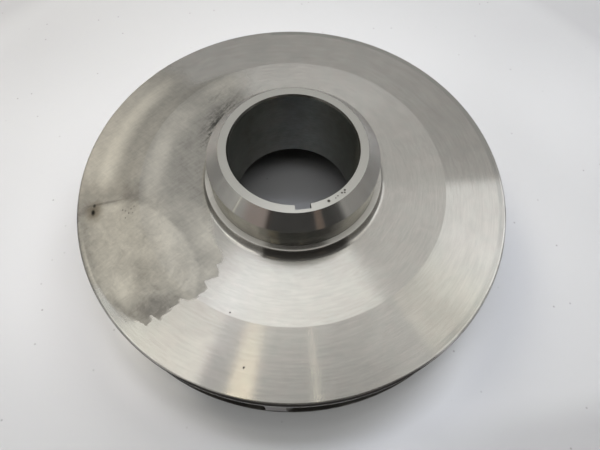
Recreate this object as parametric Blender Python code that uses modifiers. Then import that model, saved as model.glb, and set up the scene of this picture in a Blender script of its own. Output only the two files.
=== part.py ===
"""Closed radial pump impeller, 250 mm across, lying on its suction neck with the hub end up.

Metres, +Z up along the shaft axis. The origin is on the axis, at the foot of the suction neck.
The keyway points to -Y. Azimuth runs from -Y towards +X, which is counter-clockwise from above.
"""

import math

import bmesh
import bpy
from mathutils import Matrix

MM = 0.001
SEGMENTS = 96
GAP = 0.3 * MM

# The rim of the impeller, and the heights on it: everything else is measured from the rim plane.
RIM_RADIUS = 125 * MM
RIM_PLANE = 52 * MM
RIM_ROUND = 1.8 * MM
BACK_LAND = 3 * MM
OUTLET_WIDTH = 23 * MM
FRONT_LAND = 4 * MM

# The back shroud: a coned outer zone, a flat inner zone and a raised collar round the hub.
FLAT_RADIUS = 88.5 * MM
FLAT_HEIGHT = RIM_PLANE + 7 * MM
COLLAR_RADIUS = 50.3 * MM
COLLAR_HEIGHT = RIM_PLANE + 13.6 * MM
COLLAR_FILLET = 1.9 * MM
COLLAR_EDGE = 0.7 * MM

# The hub: a plain sleeve with a wide chamfer at its end face and a nose inside the eye.
BORE_RADIUS = 34.8 * MM
BORE_CHAMFER = 0.6 * MM
HUB_RADIUS = 47 * MM
HUB_FACE_RADIUS = 39.8 * MM
HUB_TOP = RIM_PLANE + 36.7 * MM
HUB_CHAMFER_FOOT = RIM_PLANE + 29.5 * MM
HUB_JOIN = RIM_PLANE - 8.6 * MM
NOSE_RADIUS = 39 * MM
NOSE_HEIGHT = RIM_PLANE - 14.6 * MM
KEYWAY_WIDTH = 8 * MM
KEYWAY_DEPTH = 3.2 * MM

# The suction neck round the eye, the front shroud that it carries, and the wearing ring shrunk on the neck.
EYE_RADIUS = 66 * MM
NECK_RADIUS = 71 * MM
SHOULDER_RADIUS = 79 * MM
SHOULDER_HEIGHT = 12.3 * MM
THROAT_HEIGHT = 9 * MM
THROAT_END_HEIGHT = RIM_PLANE - 29.8 * MM
FRONT_BEND_RADIUS = 94 * MM
FRONT_BEND_HEIGHT = RIM_PLANE - 33.4 * MM
FRONT_FOOT_HEIGHT = 13.6 * MM
EYE_ROUND = 1.6 * MM
RING_RADIUS = 78.4 * MM
RING_CHAMFER = 1.4 * MM

# The vanes: seven backward-curved blades. One tip faces azimuth FIRST_TIP.
VANES = 7
FIRST_TIP = math.radians(-11.6)
VANE_THICKNESS = 4.2 * MM
INLET_ANGLE = math.radians(20)
OUTLET_ANGLE = math.radians(25)
INLET_RADIUS_AT_HUB = 51 * MM
INLET_RADIUS_AT_FRONT = 69 * MM
NOSE_LENGTH = 6 * MM
VANE_STATIONS = 18
NOSE_STATIONS = 4
VANE_ROWS = 4

COLLECTION = "impeller"
CUTTERS = "cutters"
STEEL = (0.60, 0.585, 0.555, 1)
CAST = (0.34, 0.33, 0.31, 1)


def clear_scene():
    for thing in list(bpy.data.objects):
        bpy.data.objects.remove(thing, do_unlink=True)


def collection(name):
    made = bpy.data.collections.new(name)
    bpy.context.scene.collection.children.link(made)
    return made


def metal(name, colour, roughness):
    material = bpy.data.materials.new(name)
    material.use_nodes = True
    shader = material.node_tree.nodes["Principled BSDF"]
    shader.inputs["Base Color"].default_value = colour
    shader.inputs["Metallic"].default_value = 1.0
    shader.inputs["Roughness"].default_value = roughness
    return material


def place(name, mesh, material, home):
    piece = bpy.data.objects.new(name, mesh)
    piece.data.materials.append(material)
    home.objects.link(piece)
    return piece


def settle(piece):
    """Turns the modifiers into mesh and keeps the turned edges crisp."""
    bpy.context.view_layer.update()
    graph = bpy.context.evaluated_depsgraph_get()
    solid = bpy.data.meshes.new_from_object(piece.evaluated_get(graph))
    piece.modifiers.clear()
    piece.data = solid
    solid.name = piece.name
    solid.shade_smooth()
    solid.set_sharp_from_angle(angle=math.radians(25))


def turned(name, outline, material, home):
    """A ring turned from a closed outline of (radius, height) points, listed down its outer side first."""
    mesh = bpy.data.meshes.new(name)
    points = [(radius, 0, height) for radius, height in outline]
    edges = [(index, (index + 1) % len(points)) for index in range(len(points))]
    mesh.from_pydata(points, edges, [])
    piece = place(name, mesh, material, home)
    screw = piece.modifiers.new("turn", "SCREW")
    screw.steps = SEGMENTS
    screw.render_steps = SEGMENTS
    screw.use_merge_vertices = True
    screw.merge_threshold = 0.00001
    return piece


def arc(centre, radius, start, end, steps):
    """Points round a centre in the section, from start to end in degrees."""
    angles = [math.radians(start + (end - start) * step / steps) for step in range(steps + 1)]
    return [(centre[0] + radius * math.cos(a), centre[1] + radius * math.sin(a)) for a in angles]


def bend(start, control, end, steps):
    """A quadratic curve in the section between two points, pulled towards its control point."""
    points = []
    for step in range(steps + 1):
        t = step / steps
        weights = ((1 - t) ** 2, 2 * t * (1 - t), t * t)
        points.append(tuple(sum(w * p[i] for w, p in zip(weights, (start, control, end))) for i in range(2)))
    return points


def nose_curve():
    """The hub's surface in the passage, from its flank inwards to the nose."""
    return bend((HUB_RADIUS, HUB_JOIN), (41.5 * MM, RIM_PLANE - 10.6 * MM), (NOSE_RADIUS, NOSE_HEIGHT), 4)


def back_passage_curve():
    """The back shroud's surface in the passage, from the hub out to the rim."""
    return bend((HUB_RADIUS + GAP, HUB_JOIN + 0.1 * MM), (70 * MM, RIM_PLANE - 3.6 * MM),
                (RIM_RADIUS, RIM_PLANE - BACK_LAND), 6)


def throat_curve():
    """The neck's surface in the passage, from the eye out to its joint with the front shroud."""
    return bend((EYE_RADIUS, THROAT_HEIGHT), (EYE_RADIUS, THROAT_END_HEIGHT - 1.2 * MM),
                (SHOULDER_RADIUS, THROAT_END_HEIGHT), 6)


def front_passage_curve():
    """The whole surface in the passage on the suction side, from the eye out to the rim."""
    return [*throat_curve(), (RIM_RADIUS, RIM_PLANE - BACK_LAND - OUTLET_WIDTH)]


def height_on(curve, radius):
    """The height of a passage surface at a radius, read from its section."""
    points = sorted(curve)
    for (r0, z0), (r1, z1) in zip(points, points[1:]):
        if r0 <= radius <= r1 and r1 > r0:
            return z0 + (z1 - z0) * (radius - r0) / (r1 - r0)
    return points[0][1] if radius < points[0][0] else points[-1][1]


def hub_outline():
    chamfered = BORE_RADIUS + BORE_CHAMFER
    return [
        (chamfered, HUB_TOP),
        (HUB_FACE_RADIUS, HUB_TOP),
        (HUB_RADIUS, HUB_CHAMFER_FOOT),
        *nose_curve(),
        (chamfered, NOSE_HEIGHT),
        (BORE_RADIUS, NOSE_HEIGHT + BORE_CHAMFER),
        (BORE_RADIUS, HUB_TOP - BORE_CHAMFER),
    ]


def back_shroud_outline():
    edge = (COLLAR_RADIUS - COLLAR_EDGE, COLLAR_HEIGHT - COLLAR_EDGE)
    foot = (COLLAR_RADIUS + COLLAR_FILLET, FLAT_HEIGHT + COLLAR_FILLET)
    rim = (RIM_RADIUS - RIM_ROUND, RIM_PLANE)
    return [
        (HUB_RADIUS + GAP, COLLAR_HEIGHT),
        *arc(edge, COLLAR_EDGE, 90, 0, 2),
        *arc(foot, COLLAR_FILLET, 180, 270, 3),
        (FLAT_RADIUS, FLAT_HEIGHT),
        *arc(rim, RIM_ROUND, 80, 0, 3),
        *reversed(back_passage_curve()),
    ]


def front_shroud_outline():
    inner = SHOULDER_RADIUS + GAP
    low = RIM_PLANE - BACK_LAND - OUTLET_WIDTH - FRONT_LAND
    return [
        (RIM_RADIUS, RIM_PLANE - BACK_LAND - OUTLET_WIDTH),
        (RIM_RADIUS, low + MM),
        (RIM_RADIUS - MM, low),
        *bend((FRONT_BEND_RADIUS, FRONT_BEND_HEIGHT), (inner + MM, FRONT_BEND_HEIGHT - MM),
              (inner, FRONT_FOOT_HEIGHT), 4),
        (inner, height_on(front_passage_curve(), inner)),
    ]


def suction_neck_outline():
    return [
        (SHOULDER_RADIUS, SHOULDER_HEIGHT + GAP),
        (NECK_RADIUS, SHOULDER_HEIGHT + GAP),
        (NECK_RADIUS, 0),
        (EYE_RADIUS + EYE_ROUND, 0),
        *arc((EYE_RADIUS + EYE_ROUND, EYE_ROUND), EYE_ROUND, 225, 180, 1),
        *throat_curve(),
    ]


def wear_ring_outline():
    inner = NECK_RADIUS + GAP
    return [
        (inner, SHOULDER_HEIGHT),
        (RING_RADIUS, SHOULDER_HEIGHT),
        (RING_RADIUS, RING_CHAMFER),
        (RING_RADIUS - RING_CHAMFER, 0),
        (inner, 0),
    ]


def cut_keyway(hub, home):
    """A slot broached through the whole hub, on the -Y side of the bore."""
    reach = BORE_RADIUS + KEYWAY_DEPTH
    depth = reach / 2
    length = 2 * (HUB_TOP - NOSE_HEIGHT)
    bpy.ops.mesh.primitive_cube_add(size=1)
    key = bpy.context.object
    key.name = "keyway_cutter"
    key.data.transform(Matrix.Diagonal((KEYWAY_WIDTH, depth, length, 1)))
    key.location = (0, -reach + depth / 2, (HUB_TOP + NOSE_HEIGHT) / 2)
    for owner in list(key.users_collection):
        owner.objects.unlink(key)
    home.objects.link(key)
    key.hide_render = True
    key.display_type = "WIRE"
    cut = hub.modifiers.new("keyway", "BOOLEAN")
    cut.operation = "DIFFERENCE"
    cut.object = key


def blade_angle(radius):
    share = (radius - INLET_RADIUS_AT_HUB) / (RIM_RADIUS - INLET_RADIUS_AT_HUB)
    return INLET_ANGLE + (OUTLET_ANGLE - INLET_ANGLE) * share


def sweep_from_tip(radius):
    """How far round, in radians, the blade's middle line has run from its tip in to a radius."""
    steps = 40
    width = (RIM_RADIUS - radius) / steps
    middles = (radius + (step + 0.5) * width for step in range(steps))
    return sum(width / (middle * math.tan(blade_angle(middle))) for middle in middles)


def blade_section(inlet_radius):
    """The blade's outline at one height, as (radius, azimuth from its tip), round from the tip and back."""
    nose = inlet_radius + NOSE_LENGTH * math.sin(INLET_ANGLE)
    shares = [1 - math.cos(math.pi / 2 * step / NOSE_STATIONS) for step in range(NOSE_STATIONS)]
    stations = [(inlet_radius + (nose - inlet_radius) * share, math.sqrt(share * (2 - share))) for share in shares]
    stations += [(nose + (RIM_RADIUS - nose) * step / VANE_STATIONS, 1) for step in range(VANE_STATIONS + 1)]
    sides = []
    for side in (1, -1):
        edge = []
        for radius, fullness in stations:
            half = VANE_THICKNESS / 2 * fullness / (radius * math.sin(blade_angle(radius)))
            edge.append((radius, sweep_from_tip(radius) + side * half))
        sides.append(edge)
    return sides[0][::-1] + sides[1][1:] + [(RIM_RADIUS, 0)]


def vane_mesh():
    """One blade, lofted between the shrouds, with its tip at azimuth 0 and a round slanted inlet edge."""
    shell = bmesh.new()
    rows = []
    for row in range(VANE_ROWS):
        share = row / (VANE_ROWS - 1)
        ring = []
        for radius, azimuth in blade_section(
                INLET_RADIUS_AT_HUB + (INLET_RADIUS_AT_FRONT - INLET_RADIUS_AT_HUB) * share):
            high = height_on(back_passage_curve(), radius) - GAP
            low = height_on(front_passage_curve(), radius) + GAP
            ring.append(shell.verts.new((radius * math.sin(azimuth), -radius * math.cos(azimuth),
                                         high + (low - high) * share)))
        rows.append(ring)
    count = len(rows[0])
    for upper, lower in zip(rows, rows[1:]):
        for index in range(count):
            following = (index + 1) % count
            shell.faces.new((upper[index], upper[following], lower[following], lower[index]))
    for ring in (rows[0], rows[-1]):
        cap_blade(shell, ring)
    bmesh.ops.recalc_face_normals(shell, faces=shell.faces)
    mesh = bpy.data.meshes.new("vane")
    shell.to_mesh(mesh)
    shell.free()
    mesh.shade_smooth()
    mesh.set_sharp_from_angle(angle=math.radians(35))
    return mesh


def cap_blade(shell, ring):
    """Closes one end of the blade with a strip of faces from side to side."""
    last = len(ring) - 1
    tip = ring[last]
    sides = ring[:last]
    half = last // 2
    shell.faces.new((sides[0], tip, sides[-1]))
    for index in range(half):
        near, far = sides[index], sides[-1 - index]
        next_near, next_far = sides[index + 1], sides[-2 - index]
        if next_near is next_far:
            shell.faces.new((near, far, next_near))
        else:
            shell.faces.new((near, far, next_far, next_near))


def main():
    clear_scene()
    home = collection(COLLECTION)
    cutters = collection(CUTTERS)
    hub = turned("hub", hub_outline(), metal("hub_steel", STEEL, 0.30), home)
    cut_keyway(hub, cutters)
    back = turned("back_shroud", back_shroud_outline(), metal("back_shroud_steel", STEEL, 0.36), home)
    front = turned("front_shroud", front_shroud_outline(), metal("front_shroud_steel", STEEL, 0.40), home)
    neck = turned("suction_neck", suction_neck_outline(), metal("suction_neck_steel", STEEL, 0.34), home)
    ring = turned("wear_ring", wear_ring_outline(), metal("wear_ring_steel", STEEL, 0.28), home)
    for piece in (hub, back, front, neck, ring):
        settle(piece)
    for number in range(VANES):
        vane = place(f"vane_{number + 1}", vane_mesh(), metal(f"vane_{number + 1}_steel", CAST, 0.55), home)
        vane.rotation_euler.z = FIRST_TIP + number * math.tau / VANES


main()
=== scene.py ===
# %% [markdown]
# # A closed pump impeller, finished for the camera
#
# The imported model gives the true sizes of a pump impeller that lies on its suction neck. This lesson
# dresses it: finer turned shapes with real edge rounds, seamless vanes, five steel finishes, a pale
# bench, soft lights and a camera. Lengths are in metres. Azimuth is measured round the shaft axis, from
# the keyway at -Y towards +X.

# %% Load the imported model
import math

import bmesh
import bpy
import numpy as np
from mathutils import Matrix, Vector


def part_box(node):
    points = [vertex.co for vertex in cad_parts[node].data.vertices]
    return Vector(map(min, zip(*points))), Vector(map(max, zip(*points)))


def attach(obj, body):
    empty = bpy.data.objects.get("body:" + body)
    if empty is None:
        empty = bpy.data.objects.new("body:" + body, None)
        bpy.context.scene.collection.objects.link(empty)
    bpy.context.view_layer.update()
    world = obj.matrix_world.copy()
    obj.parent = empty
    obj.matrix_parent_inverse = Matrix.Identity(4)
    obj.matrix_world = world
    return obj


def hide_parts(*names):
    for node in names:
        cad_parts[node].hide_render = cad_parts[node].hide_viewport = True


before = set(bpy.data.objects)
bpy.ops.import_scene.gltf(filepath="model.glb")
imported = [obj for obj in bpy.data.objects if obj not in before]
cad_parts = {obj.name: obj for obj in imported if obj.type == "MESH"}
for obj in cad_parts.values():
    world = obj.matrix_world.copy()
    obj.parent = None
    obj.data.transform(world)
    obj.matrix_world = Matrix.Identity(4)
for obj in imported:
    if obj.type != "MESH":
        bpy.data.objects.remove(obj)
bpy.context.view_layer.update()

MM = 0.001
print("nodes:", ", ".join(sorted(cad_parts)))

# %% [markdown]
# ## The sizes that the shapes share
#
# The rim radius and the end heights are read from the model, so the dressed pieces keep its size. The
# section's inner corners aren't in any box, so they are named here, as heights above or below the rim
# plane, the level of the sharpest part of the rim.

# %% Driving dimensions
RIM_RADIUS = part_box("back_shroud")[1].x
HUB_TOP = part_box("hub")[1].z
RIM_PLANE = HUB_TOP - 36.7 * MM
NOSE_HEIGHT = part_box("hub")[0].z
HUB_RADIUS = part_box("hub")[1].x
COLLAR_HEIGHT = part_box("back_shroud")[1].z
RING_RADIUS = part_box("wear_ring")[1].x
RING_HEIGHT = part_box("wear_ring")[1].z
OUTLET_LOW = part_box("front_shroud")[1].z

FLAT_RADIUS = 88.5 * MM
FLAT_HEIGHT = RIM_PLANE + 7 * MM
COLLAR_RADIUS = 50.3 * MM
HUB_FACE_RADIUS = 39.8 * MM
HUB_CHAMFER_FOOT = RIM_PLANE + 29.5 * MM
BORE_RADIUS = 34.8 * MM
BORE_LEAD = 0.6 * MM
BORE_LEAD_DEPTH = 1.5 * MM
NOSE_RADIUS = 39 * MM
HUB_JOIN = RIM_PLANE - 8.6 * MM
BACK_LAND = 3 * MM
FRONT_LAND = 4 * MM
EYE_RADIUS = 66 * MM
NECK_RADIUS = 71 * MM
SHOULDER_RADIUS = 79 * MM
THROAT_HEIGHT = 9 * MM
THROAT_END_HEIGHT = RIM_PLANE - 29.8 * MM
KEYWAY_WIDTH = 8 * MM
KEYWAY_DEPTH = 3.2 * MM
print(f"rim {RIM_RADIUS / MM:.1f} mm, rim plane {RIM_PLANE / MM:.1f} mm, hub end {HUB_TOP / MM:.1f} mm")

# %% [markdown]
# ## A small language for shader nodes
#
# A finish is easier to read as sums and products than as a picture of boxes and wires. This class wraps
# one socket. Adding or multiplying two of them adds the Math node, and every other node comes from the
# one method `node`, which sets a node's settings first and then the values or links of its sockets.


# %% The socket class
class Wire:
    """One socket of a node tree, with arithmetic that adds Math nodes."""

    def __init__(self, tree, socket=None):
        self.tree = tree
        self.socket = socket

    def node(self, kind, settings=None, sockets=None, output=0):
        """Adds a node of any kind and gives the Wire of one of its outputs."""
        made = self.tree.nodes.new(kind)
        for name, value in (settings or {}).items():
            if name == "stops":
                ramp = made.color_ramp.elements
                while len(ramp) < len(value):
                    ramp.new(0.5)
                for stop, (place, colour) in zip(ramp, value):
                    stop.position = place
                    stop.color = colour
            else:
                setattr(made, name, value)
        for name, value in (sockets or {}).items():
            if isinstance(value, Wire):
                self.tree.links.new(value.socket, made.inputs[name])
            else:
                made.inputs[name].default_value = value
        return Wire(self.tree, made.outputs[output] if made.outputs else None)

    def math(self, operation, *others):
        """A Math node on this socket and on others, which may be numbers."""
        return self.node("ShaderNodeMath", {"operation": operation}, dict(enumerate((self, *others))))

    def __add__(self, other):
        return self.math("ADD", other)

    __radd__ = __add__

    def __mul__(self, other):
        return self.math("MULTIPLY", other)

    __rmul__ = __mul__

    def __sub__(self, other):
        return self.math("SUBTRACT", other)

    def __rsub__(self, other):
        return self * -1 + other

    def __truediv__(self, other):
        return self.math("DIVIDE", other)

    def step(self, low, high):
        """0 below low, 1 above high, and a soft rise between. It falls instead where low is the higher."""
        return self.node("ShaderNodeMapRange", {"interpolation_type": "SMOOTHSTEP"},
                         {"Value": self, "From Min": low, "From Max": high})

    def between(self, start, full, fade, end):
        """A soft rise from start to full, 1 from there to fade, and a soft fall from fade to end."""
        return self.step(start, full) * self.step(end, fade)

    def mix(self, first, second):
        """The first colour where this mask is 0 and the second where it is 1."""
        return self.node("ShaderNodeMix", {"data_type": "RGBA"},
                         {"Factor": self, 6: first, 7: second}, output=2)


# %% [markdown]
# ## Where on the impeller a point lies
#
# Marks on a turned part follow its radius, and marks left by a hand follow straight strokes. Both are
# worked out from Object coordinates, which stay with the piece wherever it moves. In the finishes every
# length is in millimetres and every angle in degrees, because those are the sizes one can measure.


# %% Coordinates for the finishes
class Place:
    """The shaded point's coordinates in millimetres, its radius, and its azimuth in degrees."""

    def __init__(self, wires):
        spot = wires.node("ShaderNodeTexCoord", output=3)
        self.wires = wires
        self.spot = wires.node("ShaderNodeVectorMath", {"operation": "SCALE"}, {0: spot, 3: 1 / MM})
        self.x, self.y, self.z = (
            wires.node("ShaderNodeSeparateXYZ", None, {0: self.spot}, output) for output in range(3))
        self.radius = (self.x * self.x + self.y * self.y).math("SQRT")
        self.angle = self.x.math("ARCTAN2", self.y * -1)
        self.azimuth = self.angle * math.degrees(1)

    def cloud(self, size, detail=3.0, roughness=0.5, twist=0.0, seed=0.0):
        """Even noise with blobs of a size in millimetres."""
        here = self.wires.node("ShaderNodeVectorMath", {"operation": "ADD"}, {0: self.spot, 1: (seed, 0, 0)})
        return self.wires.node("ShaderNodeTexNoise", None, {
            "Vector": here, "Scale": 1 / size, "Detail": detail, "Roughness": roughness, "Distortion": twist})

    def rings(self, width, length, detail=4.0, seed=0.0):
        """Noise drawn out round the axis, as a lathe tool leaves it.

        width is in millimetres and length in degrees.
        """
        turns = math.degrees(1) / length
        here = self.wires.node("ShaderNodeCombineXYZ", None, {
            0: (self.radius + self.z) / width + seed,
            1: self.angle.math("COSINE") * turns,
            2: self.angle.math("SINE") * turns,
        })
        return self.wires.node("ShaderNodeTexNoise", None, {
            "Vector": here, "Scale": 1.0, "Detail": detail, "Roughness": 0.6})

    def strokes(self, heading, width, length, detail=3.0, seed=0.0):
        """Noise drawn out along straight strokes that run at a heading, counted from +X towards +Y."""
        c, s = math.cos(math.radians(heading)), math.sin(math.radians(heading))
        here = self.wires.node("ShaderNodeCombineXYZ", None, {
            0: (self.x * c + self.y * s) / length + seed,
            1: (self.y * c - self.x * s) / width,
            2: self.z / width,
        })
        return self.wires.node("ShaderNodeTexNoise", None, {
            "Vector": here, "Scale": 1.0, "Detail": detail, "Roughness": 0.6})

    def blob(self, azimuth, radius, along, across, soft=0.5, wobble=None):
        """1 inside an oval round a point, given by azimuth and radius, and 0 outside.

        along is its half length round the axis and across its half width, both in millimetres.
        """
        here = math.radians(azimuth)
        east, north = radius * math.sin(here), -radius * math.cos(here)
        dx, dy = self.x - east, self.y - north
        around = (dx * math.cos(here) + dy * math.sin(here)) / along
        outward = (dx * math.sin(here) - dy * math.cos(here)) / across
        reach = (around * around + outward * outward).math("SQRT")
        if wobble is not None:
            reach = reach + wobble
        return reach.step(1 + soft, 1 - soft)

    def blobs(self, marks, soft):
        """The strongest of several ovals: azimuth, radius, half length, half width and share of each."""
        strongest = None
        for azimuth, radius, along, across, share in marks:
            oval = self.blob(azimuth, radius, along, across, soft) * share
            strongest = oval if strongest is None else strongest.math("MAXIMUM", oval)
        return strongest


# %% [markdown]
# ## How each finish starts and ends
#
# Every finish is a material with an empty node tree at first. Its last node is the material's output,
# and relief goes in through a Bump node, whose depth is given in millimetres like any other size here.


# %% Start, relief and end of a finish
def start_finish(name):
    """A new material, and the Wire that its nodes hang from."""
    material = bpy.data.materials.new(name)
    material.use_nodes = True
    material.node_tree.nodes.clear()
    return material, Wire(material.node_tree)


def bump_of(wires, height, depth):
    """A Normal from a height mask, where 1 stands for a depth in millimetres."""
    return wires.node("ShaderNodeBump", None, {"Strength": 1.0, "Distance": depth * MM, "Height": height})


def end_finish(material, wires, shader):
    """The material, with the shader joined to its output."""
    wires.node("ShaderNodeOutputMaterial", None, {"Surface": shader})
    print(f"{material.name}: {len(material.node_tree.nodes)} nodes")
    return material


# %% [markdown]
# ## Turned stainless steel
#
# A lathe leaves rings too fine to see, which smear a reflection across them and leave it sharp along
# them. Relief could do that too, but its rings would have to be finer than a pixel, so the shader's
# anisotropy does it. Cycles takes the direction round the piece's own middle, and each lamp shows as a
# wedge with straight radial sides, as on a pan lid. A quarter turn puts the smear across the rings.

# %% The turned finish
ANISOTROPY = 1.0
QUARTER_TURN = 0.25
STEEL = (0.67, 0.64, 0.605, 1)
STEEL_DULL = (0.59, 0.565, 0.535, 1)
GREEN_TINT = (0.40, 0.68, 0.62, 1)
GREEN_SHARE = 0.035


def turned_coat(place, bright, dull, rough=0.19, depth=0.003):
    """The turned finish: a Principled shader with rings in its colour and its relief, depth mm deep."""
    fine = place.rings(0.8, 6)
    broad = place.rings(5.0, 60, 2.0, seed=7.0)
    blotch = place.cloud(14, 5.0, 0.6, 0.6, seed=140.0)
    tone = (fine * 0.45 + broad * 0.15 + blotch * 0.40).step(0.34, 0.66)
    tint = place.cloud(9, 3.0, 0.5, 0.5, seed=160.0).step(0.35, 0.65)
    return place.wires.node("ShaderNodeBsdfPrincipled", None, {
        "Base Color": (tint * GREEN_SHARE).mix(tone.mix(bright, dull), GREEN_TINT),
        "Metallic": 1.0,
        "Roughness": rough,
        "Anisotropic": ANISOTROPY,
        "Anisotropic Rotation": QUARTER_TURN,
        "Normal": bump_of(place.wires, fine, depth),
    })


# %% [markdown]
# On the hub this steel isn't clean. Its plain band, below the chamfer, has an olive film, and in front
# the band is painted almost black, a painted reflection of the dark room in front. One stretch of the
# chamfer is painted darker and browner, a painted shade with a brown tint. All three change the colour
# only, so the rings and the wedges of light run on through them.

# %% Turned steel, for the hub, the neck and the ring
STEEL_OLIVE = (0.38, 0.362, 0.315, 1)
STEEL_FRONT_SHADE = (0.17, 0.163, 0.148, 1)
STEEL_BROWN_SHADE = (0.54, 0.455, 0.415, 1)


def turned_steel():
    """The turned finish with the olive film, and the painted shade on the hub's band and chamfer."""
    material, wires = start_finish("turned_steel")
    place = Place(wires)
    below = place.z.step(HUB_CHAMFER_FOOT / MM + 0.3, HUB_CHAMFER_FOOT / MM - 0.3)
    olive = below * place.z.step(RIM_PLANE / MM, RIM_PLANE / MM + 2)
    # painted shade: the band is painted almost black in front, a painted reflection of the dark room
    front_painted_shade = place.azimuth.between(-26, -20, 14, 36) + place.azimuth.between(-58, -44, -37, -31) * 0.45
    # painted shade with a brown tint on a stretch of the chamfer
    brown = place.azimuth.between(-47, -35, -24, -20) * (1 - below)
    band = front_painted_shade.mix(STEEL_OLIVE, STEEL_FRONT_SHADE)
    bright = olive.mix(brown.mix(STEEL, STEEL_BROWN_SHADE), band)
    dull = olive.mix(brown.mix(STEEL_DULL, STEEL_BROWN_SHADE), band)
    return end_finish(material, wires, turned_coat(place, bright, dull))


TURNED = turned_steel()

# %% [markdown]
# ## Bored steel and the ground end face
#
# The bore is turned as well, and it is the turned finish with darker colours, a painted shade that keeps
# the bore and what is seen through it dim. The end face was ground flat: its marks are short and cross
# each other, and it is duller and more even than the turned faces round it. A few punch dots to the right
# of the keyway mark the assembly.
# They could be cut as dimples, but a mask in the colour and the relief looks the same at their size.

# %% Bored steel
BORE_PALE = (0.27, 0.27, 0.245, 1)
BORE_DARK = (0.20, 0.20, 0.18, 1)


def bored_steel():
    """The turned finish, rougher and darker as painted shade, for the bore and the keyway."""
    material, wires = start_finish("bored_steel")
    return end_finish(material, wires, turned_coat(Place(wires), BORE_PALE, BORE_DARK, 0.30, 0.004))


BORED = bored_steel()

# %% The ground end face
FACE_DARK = (0.605, 0.592, 0.557, 1)
FACE_PALE = (0.62, 0.607, 0.572, 1)
DOT_COLOUR = (0.09, 0.08, 0.07, 1)
GRIND_DEPTH = 0.0002
DOT_DEPTH = 0.08
PUNCH_DOTS = (
    # azimuth, radius, half width
    (20.6, 37.3, 0.75), (26.5, 37.7, 0.3), (29.0, 37.3, 0.35),
    (33.2, 37.2, 0.5), (35.0, 38.0, 0.45), (36.6, 37.0, 0.55),
)


def end_face_steel():
    """Short marks that cross each other, and the punch dots."""
    material, wires = start_finish("end_face_steel")
    place = Place(wires)
    marks = place.strokes(25, 0.5, 6.0) * 0.6 + place.strokes(-50, 0.6, 5.0, seed=11.0) * 0.4
    dots = place.blobs([(azimuth, radius, size, size, 1.0) for azimuth, radius, size in PUNCH_DOTS], 0.4)
    ground = marks.step(0.3, 0.7).mix(FACE_DARK, FACE_PALE)
    shader = wires.node("ShaderNodeBsdfPrincipled", None, {
        "Base Color": dots.mix(ground, DOT_COLOUR),
        "Metallic": 1.0,
        "Roughness": 0.275,
        "Anisotropic": 0.5,
        "Anisotropic Rotation": QUARTER_TURN,
        "Normal": bump_of(wires, marks - dots * (DOT_DEPTH / GRIND_DEPTH), GRIND_DEPTH),
    })
    return end_finish(material, wires, shader)


END_FACE = end_face_steel()

# %% [markdown]
# ## Faced steel with a hand-ground patch
#
# The plate is turned too, but one side was gone over by hand with a grinder, which left a dull, mottled
# patch. Two shaders are mixed: the turned one, and a matte one without anisotropy. The patch has a ragged
# near edge, where the grinder was lifted again and again, and it fades out at its far end. The near edge
# is drawn with a colour ramp: radius runs along the ramp, and its grey stands for the edge's azimuth,
# from -90 degrees for black to 0 for white. A painted mask could hold the edge too, but it would be a
# picture to keep beside the file, while the ramp is a short list of measured points.

# %% Where the grinder went
STROKE_HEADING = 22.0
NEAR_EDGE = (
    # radius, azimuth
    (50, -72), (55, -62), (57.8, -56.9), (59.3, -53), (60.4, -48.3), (63.1, -43.5), (66.2, -42.4),
    (68.6, -44), (69.9, -41.4), (72.9, -39.8), (75.6, -41.5), (79, -43.4), (81.3, -40.5), (85.2, -41.1),
    (87.5, -41.2), (90.5, -42.4), (92.4, -43.9), (93.2, -45.4), (95.6, -44.8), (100, -45.7),
    (104.3, -46.3), (107.9, -46.4), (108.7, -48.9), (111.2, -48.2), (113.8, -47.8), (114.9, -50.4),
    (117.1, -52), (118, -54), (119.4, -54.2), (120.4, -58), (121.5, -64),
)
RAMP_START, RAMP_SPAN = 45.0, 80.0
GREY_SPAN = 90.0


def near_edge(place):
    """The azimuth of the patch's ragged edge at the place's radius."""
    stops = []
    for radius, azimuth in NEAR_EDGE:
        grey = azimuth / GREY_SPAN + 1
        stops.append(((radius - RAMP_START) / RAMP_SPAN, (grey, grey, grey, 1)))
    along = (place.radius + (place.cloud(3, seed=12.0) - 0.5) * 1.2 - RAMP_START) / RAMP_SPAN
    return place.wires.node("ShaderNodeValToRGB", {"stops": stops}, {0: along}) * GREY_SPAN - GREY_SPAN


def ground_patch(place):
    """1 where the plate was ground by hand, and 0 where the turned face is left."""
    nibble = place.strokes(STROKE_HEADING, 1.2, 7.0, 3.0, seed=3.0) - 0.5
    loose = place.radius.step(68, 54) * 5 + place.radius.step(115, 119) * 4 + 0.5
    near = ((place.azimuth - near_edge(place) + nibble * (loose + 2.5)) / loose).step(1, -1)
    outer = place.radius.step(86, 96) * -18
    far = (place.azimuth + outer + (place.cloud(25) - 0.5) * 16).step(-170, -154)
    return near * far


print("the patch's near edge has", len(NEAR_EDGE), "points")

# %% [markdown]
# Inside the patch the tone wanders. Most of it is a dark base with a pale ridge along the flat zone's
# edge and a pale glow near the rim. In front of them lies a round lobe, from a second pass with the
# grinder, with a crisp edge and its own pale and dark spots. Each spot is an oval with an uneven edge,
# and only the lobe's outline is a hard one.

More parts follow.
